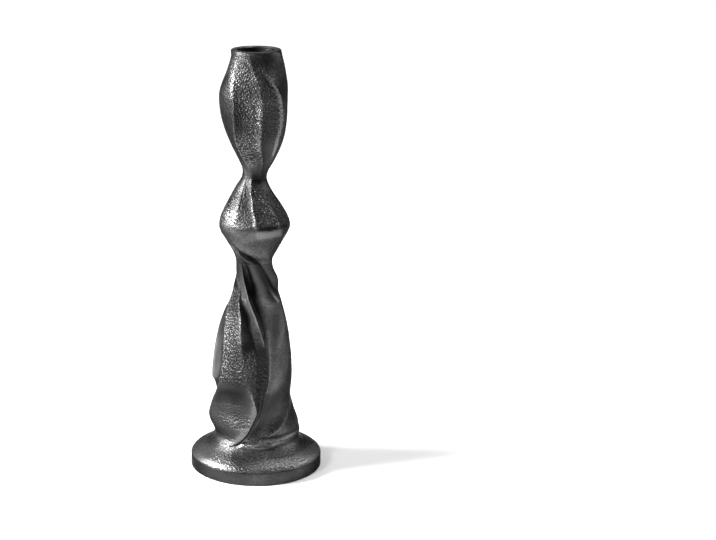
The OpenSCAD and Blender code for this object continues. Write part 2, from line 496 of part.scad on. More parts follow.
module tie_nut() {
    color(steel) translate([0, 0, core_end_z - washer_h - nut_h]) difference() {
        cylinder(d = nut_flats / cos(30), h = nut_h, $fn = 6);
        translate([0, 0, -cut]) cylinder(d = rod_d + 2 * fit_gap, h = nut_h + 2 * cut, $fn = round_fn);
    }
}

module upper_dowel() {
    color(steel) dowel(upper_dowel_x, neck_z, upper_dowel_d, upper_dowel_l);
}

module lower_dowel() {
    color(steel) dowel(lower_dowel_x, waist_z, lower_dowel_d, lower_dowel_l);
}

module foot_screws() {
    color(steel) foot_screw_places() translate([0, 0, recess_z]) difference() {
        union() {
            cylinder(d1 = screw_head_d, d2 = screw_d, h = screw_head_h, $fn = round_fn);
            cylinder(d = screw_d, h = screw_l, $fn = round_fn);
        }
        translate([0, 0, -cut]) cylinder(d = screw_key / cos(30), h = screw_key_depth + cut, $fn = 6);
    }
}

module felt_pad() {
    color(felt) cylinder(r = felt_r, h = felt_h, $fn = round_fn);
}

cup();
knop();
skirt();
foot_disc();
tie_rod();
tie_washer();
tie_nut();
upper_dowel();
lower_dowel();
foot_screws();
felt_pad();
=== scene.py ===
# A twisted candle holder in blackened cast metal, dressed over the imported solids.
# Metres throughout: +Z up, the front of the holder towards -Y.
import math

import bmesh
import bpy
import numpy as np
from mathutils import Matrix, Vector
from mathutils.geometry import tessellate_polygon


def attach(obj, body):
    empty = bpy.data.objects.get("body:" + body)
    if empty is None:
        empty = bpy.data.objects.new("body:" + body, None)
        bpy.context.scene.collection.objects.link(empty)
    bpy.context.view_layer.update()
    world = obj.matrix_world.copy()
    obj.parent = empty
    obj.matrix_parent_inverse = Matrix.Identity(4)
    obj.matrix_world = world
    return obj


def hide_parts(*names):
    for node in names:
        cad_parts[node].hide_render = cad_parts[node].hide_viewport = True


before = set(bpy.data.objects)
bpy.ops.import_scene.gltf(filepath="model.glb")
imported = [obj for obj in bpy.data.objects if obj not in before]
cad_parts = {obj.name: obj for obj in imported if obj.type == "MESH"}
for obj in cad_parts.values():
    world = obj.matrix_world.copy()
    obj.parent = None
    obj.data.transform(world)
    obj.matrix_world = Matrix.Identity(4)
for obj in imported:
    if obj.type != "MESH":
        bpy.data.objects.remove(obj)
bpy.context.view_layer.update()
print("frame loaded:", len(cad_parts), "nodes")


# Camera, where the photographer stood: about 15 degrees above level
view = {
    "place": (0, -1.043, 0.414),
    "downTilt": 15.49,
    "lens": 89.3,
    "sensor": 36,
    "sideShift": 0.1425,  # the holder stands left of the middle of the frame
    "nearest": 0.01,
    "farthest": 50,
}


def placed(name, data):
    made = bpy.data.objects.new(name, data)
    bpy.context.scene.collection.objects.link(made)
    return made


def aimCamera():
    lens = bpy.data.cameras.new("camera")
    lens.sensor_width, lens.lens, lens.shift_x = view["sensor"], view["lens"], view["sideShift"]
    lens.clip_start, lens.clip_end = view["nearest"], view["farthest"]
    camera = placed("camera", lens)
    camera.location = view["place"]
    camera.rotation_euler = (math.radians(90 - view["downTilt"]), 0, 0)
    bpy.context.scene.camera = camera


aimCamera()
print("camera aimed")


# Soft boxes: the key from the left, a small one at the front left, and weak ones above and at the right
lamps = [
    {"name": "keyBox", "place": (-1.24, -0.15, 0.8), "aim": (0, 0, 0.14),
     "wide": 0.5, "high": 0.65, "power": 82},
    {"name": "frontBox", "place": (-0.75, -0.95, 0.9), "aim": (0, 0, 0.14),
     "wide": 0.25, "high": 0.25, "power": 8},
    {"name": "overBox", "place": (0.5, -0.15, 1.4), "aim": (0, 0, 0.1),
     "wide": 0.5, "high": 0.5, "power": 6},
    {"name": "sideBox", "place": (1.3, 0.2, 0.9), "aim": (0, 0, 0.1),
     "wide": 0.6, "high": 0.6, "power": 9},
]


def hangLamp(lamp):
    light = bpy.data.lights.new(lamp["name"], "AREA")
    light.shape, light.energy = "RECTANGLE", lamp["power"]
    light.size, light.size_y = lamp["wide"], lamp["high"]
    box = placed(lamp["name"], light)
    box.location = lamp["place"]
    aim = Vector(lamp["aim"]) - Vector(lamp["place"])
    box.rotation_euler = aim.to_track_quat("-Z", "Y").to_euler()


# One socket of a node tree, so that sums on it are written as sums
class Wire:
    def __init__(self, tree, socket=None):
        self.tree, self.socket = tree, socket

    def node(self, kind, settings=None, values=None, out=0):
        made = self.tree.nodes.new(kind)
        for name, value in (settings or {}).items():
            setattr(made, name, value)
        for name, value in (values or {}).items():
            if isinstance(value, Wire):
                self.tree.links.new(value.socket, made.inputs[name])
            else:
                made.inputs[name].default_value = value
        return Wire(self.tree, made.outputs[out])

    def maths(self, operation, first, second):
        return self.node("ShaderNodeMath", {"operation": operation}, {0: first, 1: second})

    def __add__(self, other):
        return self.maths("ADD", self, other)

    def __sub__(self, other):
        return self.maths("SUBTRACT", self, other)

    def __rsub__(self, other):
        return self.maths("SUBTRACT", other, self)

    def __mul__(self, other):
        return self.maths("MULTIPLY", self, other)

    def between(self, low, high):
        return self.node("ShaderNodeMapRange", {"interpolation_type": "SMOOTHSTEP"}, {
            0: self, 1: low, 2: high, 3: 0.0, 4: 1.0,
        })

    def tint(self, start, end):
        return self.node("ShaderNodeMix", {"data_type": "RGBA"}, {0: self, 6: start, 7: end}, 2)

    def mark(self, name):
        return self.node("ShaderNodeAttribute", {"attribute_name": name}, out=2)

    def spot(self):
        # the place on the object, in its own coordinates
        return self.node("ShaderNodeTexCoord", out=3)

    def noise(self, size, detail=2.0, rough=0.5, seat=None):
        return self.node("ShaderNodeTexNoise", None, {
            "Vector": seat or self.spot(), "Scale": 1 / size, "Detail": detail, "Roughness": rough,
        })

    def bump(self, depth, strength=1.0, under=None):
        values = {"Strength": strength, "Distance": depth, "Height": self}
        if under:
            values["Normal"] = under
        return self.node("ShaderNodeBump", None, values)


def newMaterial(name):
    made = bpy.data.materials.new(name)
    made.use_nodes = True
    made.node_tree.nodes.clear()
    return made, Wire(made.node_tree)


def finishMaterial(tool, shader):
    out = tool.tree.nodes.new("ShaderNodeOutputMaterial")
    tool.tree.links.new(shader.socket, out.inputs["Surface"])


# Blackened casting: dark in the hollows, rubbed brighter on the ridges, with the grain of the sand mould.
# The mark read here runs from 0 to 1: low in sooty hollows and where shade is painted, high on bare
# crests and where highlights are painted
casting = {
    # Tones: dark for sooty hollows and painted shade, mid for plain skin, the brightest for rubbed crests
    # and painted highlights
    "dark": (0.011, 0.011, 0.0111, 1),
    "mid": (0.034, 0.034, 0.0344, 1),
    "rubbedAndLit": (0.125, 0.125, 0.127, 1),
    "metallic": 0.9,
    "edgeTint": (0.12, 0.12, 0.12, 1),
    "waxShine": 0.15,
    "roughLow": 0.31,
    "roughHigh": 0.45,
    "polish": 0.06,
    "half": 0.5,  # the wear of flat skin, and the middle value of a noise
    "fullRelief": 0.0012,  # a point this far above its blurred surroundings is fully rubbed
    # Ranges of the mark over which the rubbed tone with painted highlight, and the dark tone with painted
    # shade, come in
    "rubbedAndLitRange": (0.4, 0.95),
    "sootyAndShadedRange": (0.0, 0.5),
    "grainSize": 0.00115,
    "grainDepth": 0.00038,
    "grainSoftness": 0.4,
    "middleCell": 0.4,
    "specks": 0.6,
    "pitSize": 0.0005,
    "pitDepth": 0.0001,
    "patchSize": 0.012,
    "patchShare": 0.4,
}


def castingMaterial():
    made, tool = newMaterial("blackenedCasting")
    wearAndPaintedLight = tool.mark("wearAndPaintedLight")
    patches = tool.noise(casting["patchSize"], detail=3)
    cells = tool.node("ShaderNodeTexVoronoi", {"feature": "SMOOTH_F1"}, {
        "Vector": tool.spot(), "Scale": 1 / casting["grainSize"], "Smoothness": casting["grainSoftness"],
    })
    coarse = tool.mark("grain")
    grains = (1 - cells) * coarse
    pits = tool.noise(casting["pitSize"], detail=1)
    specks = (casting["middleCell"] - cells) * coarse * casting["specks"]
    share, half = casting["patchShare"], casting["half"]
    # The first mask lifts the tone on rubbed crests and where highlights are painted; the second darkens
    # it in sooty hollows and where shade is painted
    rubbedAndLit = (wearAndPaintedLight + patches * share + specks - share * half).between(*casting["rubbedAndLitRange"])
    sootyAndShaded = (half - wearAndPaintedLight + (half - patches) * share).between(*casting["sootyAndShadedRange"])
    tone = sootyAndShaded.tint(rubbedAndLit.tint(casting["mid"], casting["rubbedAndLit"]), casting["dark"])
    rough = patches * (casting["roughHigh"] - casting["roughLow"]) + casting["roughLow"]
    bump = pits.bump(casting["pitDepth"], under=grains.bump(casting["grainDepth"]))
    finishMaterial(tool, tool.node("ShaderNodeBsdfPrincipled", None, {
        "Base Color": tone, "Metallic": casting["metallic"], "Normal": bump,
        "Roughness": rough - rubbedAndLit * casting["polish"],
        "Specular Tint": casting["edgeTint"], "Specular IOR Level": casting["waxShine"],
    }))
    return made


# Turned steel of the hidden hardware
steel = {
    "light": (0.62, 0.63, 0.65, 1),
    "dull": (0.46, 0.47, 0.49, 1),
    "streakSize": 0.0006,
    "stretch": (0.15, 0.15, 1.0),
    "streakDepth": 0.00003,
    "streakStrength": 0.3,
    "rough": 0.28,
    "roughRange": 0.15,
}


def steelMaterial():
    made, tool = newMaterial("turnedSteel")
    stretched = tool.node("ShaderNodeMapping", None, {"Vector": tool.spot(), "Scale": steel["stretch"]})
    streaks = tool.noise(steel["streakSize"], seat=stretched)
    finishMaterial(tool, tool.node("ShaderNodeBsdfPrincipled", None, {
        "Base Color": streaks.tint(steel["dull"], steel["light"]), "Metallic": 1.0,
        "Roughness": streaks * steel["roughRange"] + steel["rough"],
        "Normal": streaks.bump(steel["streakDepth"], steel["streakStrength"]),
    }))
    return made


# Pressed felt: matted fibres, with a little lint
felt = {
    "black": (0.018, 0.018, 0.02, 1),
    "grey": (0.07, 0.07, 0.075, 1),
    "fibreSize": 0.0005,
    "fibreRough": 0.7,
    "fibreShare": 0.6,
    "matSize": 0.003,
    "depth": 0.0003,
    "strength": 0.8,
    "rough": 0.78,
    "roughRange": 0.2,
    "fuzz": 0.4,
}


def feltMaterial():
    made, tool = newMaterial("pressedFelt")
    fibres = tool.noise(felt["fibreSize"], detail=3, rough=felt["fibreRough"])
    mats = tool.noise(felt["matSize"])
    lint = fibres * felt["fibreShare"] + mats * (1 - felt["fibreShare"])
    finishMaterial(tool, tool.node("ShaderNodeBsdfPrincipled", None, {
        "Base Color": lint.tint(felt["black"], felt["grey"]), "Sheen Weight": felt["fuzz"],
        "Roughness": fibres * felt["roughRange"] + felt["rough"],
        "Normal": (fibres + mats).bump(felt["depth"], felt["strength"]),
    }))
    return made


# The paper under the holder; its glow grows towards the back, so that it stays white there
paper = {
    "white": (0.88, 0.88, 0.88, 1),
    "rough": 0.9,
    "shine": 0.1,
    "glow": 0.5,
    "far": (0.2, 2.2),
    "farGlow": 1.3,
    "halfSide": 9,
}


def paperMaterial():
    made, tool = newMaterial("paleFloor")
    depth = tool.node("ShaderNodeSeparateXYZ", None, {"Vector": tool.spot()}, 1)
    finishMaterial(tool, tool.node("ShaderNodeBsdfPrincipled", None, {
        "Base Color": paper["white"], "Roughness": paper["rough"], "Specular IOR Level": paper["shine"],
        "Emission Color": depth.between(*paper["far"]) * paper["farGlow"],
        "Emission Strength": paper["glow"],
    }))
    return made


def layFloor():
    mesh = bpy.data.meshes.new("floor")
    side = paper["halfSide"]
    corners = [(-side, -side, 0), (side, -side, 0), (side, side, 0), (-side, side, 0)]
    mesh.from_pydata(corners, [], [(0, 1, 2, 3)])
    mesh.materials.append(paperMaterial())
    floor = placed("floor", mesh)


# The room around it, brighter towards the back
room = {"front": 0.05, "back": 0.7, "turn": (-0.1, 0.7), "look": "Standard"}


def lightRoom():
    world = bpy.data.worlds.new("room")
    world.use_nodes = True
    world.node_tree.nodes.clear()
    tool = Wire(world.node_tree)
    around = tool.node("ShaderNodeTexCoord", out=0)
    depth = tool.node("ShaderNodeSeparateXYZ", None, {"Vector": around}, 1)
    glow = depth.between(*room["turn"]) * (room["back"] - room["front"]) + room["front"]
    back = tool.node("ShaderNodeBackground", None, {"Color": (1, 1, 1, 1), "Strength": glow})
    out = world.node_tree.nodes.new("ShaderNodeOutputWorld")
    world.node_tree.links.new(back.socket, out.inputs["Surface"])
    bpy.context.scene.world = world
    bpy.context.scene.view_settings.view_transform = room["look"]


for lamp in lamps:
    hangLamp(lamp)
lightRoom()
layFloor()
print("lamps and floor set")


# Shape of the three castings, with its sizes as in the part's source. A level of 0 is the underside
# of the skirt, 1 the lower neck, 2 the upper neck and 3 the rim
shape = {
    "discTop": 0.008,
    "skirtHigh": 0.123,
    "knopHigh": 0.052,
    "cupHigh": 0.077,
    "rim": 0.0148,
    "cup": 0.0206,
    "neck": 0.0076,
    "knop": 0.0215,
    "waist": 0.0113,
    "skirt": 0.0246,
    "hem": 0.0268,
    "foot": 0.0405,
    "pointsPerPanel": 20,
}


def mix(low, high, share):
    return low + (high - low) * share


# Mean radii from the foot up to the rim, and how far along them each level is
widths = [shape[name] for name in ("foot", "hem", "skirt", "waist", "knop", "neck", "cup", "rim")]
profileShares = [
    (0, 0), (0.012, 0.045), (0.03, 0.2), (0.064, 0.65), (0.095, 0.92), (0.12, 1), (0.18, 1),
    (0.24, 1.55), (0.32, 1.95), (0.45, 2), (0.59, 2.15), (0.7, 2.35), (0.8, 2.63), (0.85, 2.84),
    (0.9, 2.92), (1, 3), (1.13, 3.22), (1.25, 3.56), (1.36, 3.89), (1.44, 4), (1.53, 4.06),
    (1.65, 4.28), (1.85, 4.74), (1.99, 5), (2.05, 5.02), (2.13, 5.23), (2.29, 5.66), (2.45, 5.92),
    (2.6, 6), (2.72, 6.1), (2.84, 6.48), (2.95, 6.86), (2.985, 6.94), (3, 7),
]


def widthAt(place):
    low = min(int(place), len(widths) - 2)
    return mix(widths[low], widths[low + 1], place - low)


profile = [(level, widthAt(place)) for level, place in profileShares]


# The sharp folds, each as (level, angle from the front, share of the mean radius)
folds = [
    # Strip at the left of the skirt
    ((0, -130, 1), (0.03, -129, 0.97), (0.07, -127, 0.92), (0.12, -125, 0.98), (0.22, -104, 0.98),
     (0.32, -92, 0.99), (0.375, -87, 1.04), (0.41, -84, 1.11), (0.5, -86, 1.11), (0.65, -94, 1.1),
     (0.75, -104, 1.06), (0.8, -112, 1), (0.9, -130, 1), (1, -158, 1), (1.1, -180, 1), (1.3, -195, 1),
     (1.5, -205, 1), (1.7, -212, 1), (2, -222, 1), (2.3, -228, 1), (2.5, -228, 0.96),
     (2.66, -232, 0.97), (2.84, -250, 1), (3, -265, 1)),
    # Edge at the left, down to the knob
    ((0, -95, 1), (0.07, -93, 0.97), (0.12, -92, 0.96), (0.17, -84, 1.05), (0.22, -79, 1.15),
     (0.27, -74, 1.17), (0.315, -70, 1.15), (0.345, -68, 1.1), (0.385, -66, 1.04), (0.456, -62, 1),
     (0.533, -62, 0.98), (0.66, -65, 1.02), (0.75, -70, 1.05), (0.8, -74, 1.07), (0.855, -80, 1.1),
     (0.9, -96, 1.06), (1, -124, 1), (1.1, -146, 1), (1.3, -163, 1), (1.5, -172, 1), (1.7, -178, 1),
     (2, -188, 1), (2.3, -195, 1), (2.5, -195, 1), (2.66, -198, 1), (2.84, -218, 1), (3, -235, 1)),
    # Right edge of the front face, then the hem of the apron
    ((0, -58, 1), (0.085, -37, 1), (0.1, -30, 1.03), (0.125, -20.5, 1.05), (0.152, -14, 1.06),
     (0.182, -9, 1.06), (0.216, -5.2, 1.06), (0.245, -1.6, 1.065), (0.278, 1, 1.065),
     (0.305, -0.5, 1.04), (0.354, -5, 1), (0.417, -12, 0.965), (0.491, -18.5, 0.95),
     (0.564, -22.5, 0.96), (0.628, -25.2, 0.99), (0.677, -26.5, 1.02), (0.734, -29, 1.01),
     (0.784, -38, 0.96), (0.82, -45, 0.96), (0.87, -53, 1.01), (0.91, -66, 1.04), (1, -90, 1.08),
     (1.1, -112, 1.05), (1.3, -130, 1), (1.5, -138, 1), (1.7, -145, 1), (2, -156, 1.05),
     (2.3, -165, 1), (2.5, -165, 1.03), (2.66, -168, 1.03), (2.84, -188, 1), (3, -205, 1)),
    # Crease at the left of the ribbon
    ((0, -40, 1), (0.085, -33, 1), (0.1, -27, 1.005), (0.125, -19.2, 1.005), (0.152, -12.8, 1),
     (0.182, -7.9, 1), (0.216, -3.9, 1), (0.245, -0.4, 1.005), (0.278, 2.4, 1.005), (0.305, 2.4, 1),
     (0.35, 1, 0.98), (0.4, -0.5, 0.955), (0.45, 0, 0.94), (0.5, 1, 0.915), (0.551, 1.5, 0.855),
     (0.604, -2.5, 0.76), (0.65, -9.5, 0.715), (0.696, -18.5, 0.7), (0.743, -26, 0.72),
     (0.784, -33, 0.79), (0.82, -39, 0.87), (0.86, -44, 0.94), (0.906, -50, 1), (0.95, -58, 1.05),
     (1, -70, 1.08), (1.1, -94, 1.05), (1.3, -114, 1), (1.5, -122, 1), (1.7, -128, 1), (2, -140, 1.02),
     (2.3, -150, 1), (2.5, -150, 1), (2.66, -152, 1), (2.84, -172, 1), (3, -188, 1)),
    # Narrow ribbon that winds down the front
    ((0, -22, 1), (0.085, -29, 1), (0.1, -24, 0.995), (0.125, -17.6, 0.97), (0.152, -11.6, 0.96),
     (0.182, -6.9, 0.96), (0.216, -2.6, 0.965), (0.245, 1, 0.97), (0.278, 4.2, 0.97),
     (0.305, 5.4, 0.965), (0.345, 8.4, 0.945), (0.404, 13.8, 0.905), (0.478, 17.8, 0.865),
     (0.553, 18.3, 0.83), (0.605, 16.8, 0.8), (0.646, 13, 0.8), (0.695, 6.6, 0.8), (0.75, -2.4, 0.83),
     (0.8, -13, 0.88), (0.848, -23, 0.96), (0.896, -31.5, 1.02), (0.946, -38.5, 1.08),
     (1, -43.5, 1.14), (1.08, -52, 1.12), (1.15, -74, 1.06), (1.3, -98, 1.03), (1.5, -106, 1.02),
     (1.7, -112, 1.07), (1.85, -118, 1.13), (2, -124, 1.14), (2.3, -134, 1), (2.5, -134, 1.05),
     (2.66, -137, 1.05), (2.84, -156, 1), (3, -172, 1)),
    # Foot of the drop beside the ribbon, then the left edge of the wide right fold
    ((0, 0, 1), (0.074, -19.5, 0.99), (0.088, -19, 1), (0.1, -18, 1.025), (0.111, -17, 1.015),
     (0.121, -15, 0.955), (0.134, -11.8, 0.965), (0.164, -6.4, 0.96), (0.2, -1.2, 0.965),
     (0.24, 3.8, 0.97), (0.28, 7.5, 0.97), (0.337, 12, 0.955), (0.386, 17, 0.93), (0.445, 20.5, 0.905),
     (0.5, 22, 0.885), (0.55, 22.6, 0.865), (0.605, 22.3, 0.83), (0.645, 21, 0.78), (0.69, 18, 0.7),
     (0.74, 11.5, 0.62), (0.79, 1, 0.56), (0.838, -13, 0.54), (0.884, -24, 0.56), (0.935, -31, 0.68),
     (0.99, -37, 0.86), (1.04, -41.5, 1.04), (1.1, -50, 1.1), (1.2, -72, 1.06), (1.3, -90, 1.05),
     (1.4, -92, 1.05), (1.5, -94, 1.04), (1.7, -94, 1.1), (1.85, -95, 1.2), (1.93, -95, 1.24),
     (2, -96, 1.17), (2.07, -100, 1), (2.13, -104, 0.95), (2.3, -104, 1), (2.5, -104, 1.07),
     (2.66, -106, 1.08), (2.84, -124, 0.98), (3, -140, 1)),
    # Crease under the knop, then the right edge of the wide right fold
    ((0, 28, 1), (0.074, 9, 0.99), (0.088, 6, 1), (0.1, 4, 1.03), (0.111, 2, 1.02), (0.121, 2, 0.95),
     (0.13, 2, 0.92), (0.16, 4.5, 0.915), (0.196, 10, 0.92), (0.236, 16, 0.935), (0.273, 22, 0.945),
     (0.324, 32, 0.94), (0.394, 44, 0.935), (0.463, 56, 0.93), (0.54, 66, 0.935), (0.62, 75, 0.94),
     (0.7, 83, 0.94), (0.78, 88, 0.95), (0.83, 84, 0.95), (0.868, 73, 0.86), (0.9, 61, 0.82),
     (0.937, 45.6, 0.82), (0.977, 27, 0.84), (1.011, 11.6, 0.84), (1.06, -5, 0.83), (1.1, -24, 0.83),
     (1.13, -38, 0.87), (1.166, -49, 0.93), (1.2, -57, 0.97), (1.24, -62, 1), (1.3, -62, 1.02),
     (1.4, -50, 1.01), (1.5, -40, 1.01), (1.6, -37, 1.02), (1.7, -39, 1.05), (1.8, -43, 1.07),
     (1.9, -48, 1.1), (2, -54, 1.08), (2.07, -64, 0.98), (2.15, -72, 0.97), (2.3, -74, 1),
     (2.5, -72, 1.07), (2.66, -74, 1.09), (2.84, -90, 0.97), (2.95, -100, 0.94), (3, -105, 1)),
    # Left ridge of the cup, front ridge of the knop, back lobe, lowest front crest
    ((0, 62, 1), (0.084, 35, 0.99), (0.1, 33, 1), (0.113, 30, 1.03), (0.125, 26, 1.02),
     (0.135, 20, 0.945), (0.146, 17, 0.97), (0.161, 24, 0.98), (0.183, 34, 0.975), (0.207, 46, 0.96),
     (0.245, 58, 0.925), (0.28, 66, 0.9), (0.32, 74, 0.885), (0.38, 82, 0.9), (0.46, 93, 0.9),
     (0.6, 104, 0.92), (0.72, 109, 0.95), (0.8, 107, 0.98), (0.84, 102, 1.02), (0.88, 94, 1.09),
     (0.924, 84, 1.1), (0.975, 70, 0.98), (1.04, 52, 0.96), (1.1, 32, 1), (1.2, 14, 1), (1.3, 6, 1),
     (1.44, 2, 1.01), (1.5, 1, 1.05), (1.59, -1.6, 1.08), (1.69, -5.5, 1.09), (1.8, -10, 1.1),
     (1.87, -15.5, 1.1), (1.95, -19, 1.06), (2, -20, 1.02), (2.04, -21.5, 0.99), (2.08, -24, 1),
     (2.16, -33, 1.08), (2.24, -39, 1.09), (2.33, -41, 1.08), (2.49, -37, 1.08), (2.68, -37, 1.09),
     (2.88, -46.5, 1.02), (2.95, -54, 0.98), (3, -60, 1)),
    # Middle ridge of the cup
    ((0, 98, 1), (0.03, 92, 0.98), (0.07, 84, 0.94), (0.095, 81, 0.97), (0.115, 79, 1.02),
     (0.13, 78, 1.04), (0.143, 78, 1.01), (0.16, 80, 1), (0.2, 88, 0.955), (0.25, 96, 0.91),
     (0.3, 104, 0.885), (0.4, 122, 0.92), (0.6, 130, 0.95), (0.8, 132, 1), (0.9, 124, 0.97),
     (1, 104, 0.87), (1.1, 82, 0.92), (1.2, 66, 0.98), (1.33, 56, 0.98), (1.44, 44, 1),
     (1.5, 40, 1.03), (1.56, 38, 1.04), (1.7, 33, 1.02), (1.8, 30.5, 0.98), (1.9, 27, 0.95),
     (2, 24, 0.93), (2.08, 22, 1), (2.16, 18, 1.06), (2.25, 10.6, 1.07), (2.34, 8.9, 1.06),
     (2.56, 9.8, 1.05), (2.72, 8.2, 1.05), (2.8, 3.4, 1.05), (2.88, -5.7, 1.03), (2.95, -12.6, 1.01),
     (3, -17.6, 1)),
    # Right ridge of the cup
    ((0, 140, 1), (0.03, 132, 0.95), (0.07, 120, 0.88), (0.1, 113, 0.94), (0.12, 111, 1),
     (0.14, 112, 1.03), (0.25, 135, 0.99), (0.4, 158, 1), (0.6, 165, 1), (0.8, 162, 1), (0.9, 152, 1),
     (1, 134, 0.93), (1.1, 116, 0.95), (1.3, 94, 0.95), (1.5, 80, 0.97), (1.7, 70, 0.94),
     (1.9, 60, 0.88), (2.03, 53, 0.94), (2.13, 52.6, 1.04), (2.22, 49.7, 1.08), (2.32, 48.3, 1.08),
     (2.46, 51.7, 1.05), (2.56, 49.8, 1.03), (2.66, 44.6, 1.04), (2.74, 35.7, 1.05),
     (2.84, 22.8, 1.03), (3, 12, 1)),
    # Back ridge
    ((0, 186, 1), (0.03, 178, 0.96), (0.07, 166, 0.9), (0.12, 152, 0.99), (0.25, 178, 1),
     (0.4, 196, 1), (0.6, 202, 1), (0.8, 197, 1), (0.9, 185, 1), (1, 165, 0.95), (1.1, 150, 0.95),
     (1.3, 130, 0.96), (1.5, 116, 0.96), (1.7, 108, 0.9), (1.9, 100, 0.82), (2, 96, 0.86),
     (2.13, 94, 1.05), (2.3, 92, 1.01), (2.5, 94, 0.94), (2.66, 88, 0.93), (2.84, 74, 1.02),
     (2.95, 66, 1.05), (3, 62, 1)),
]

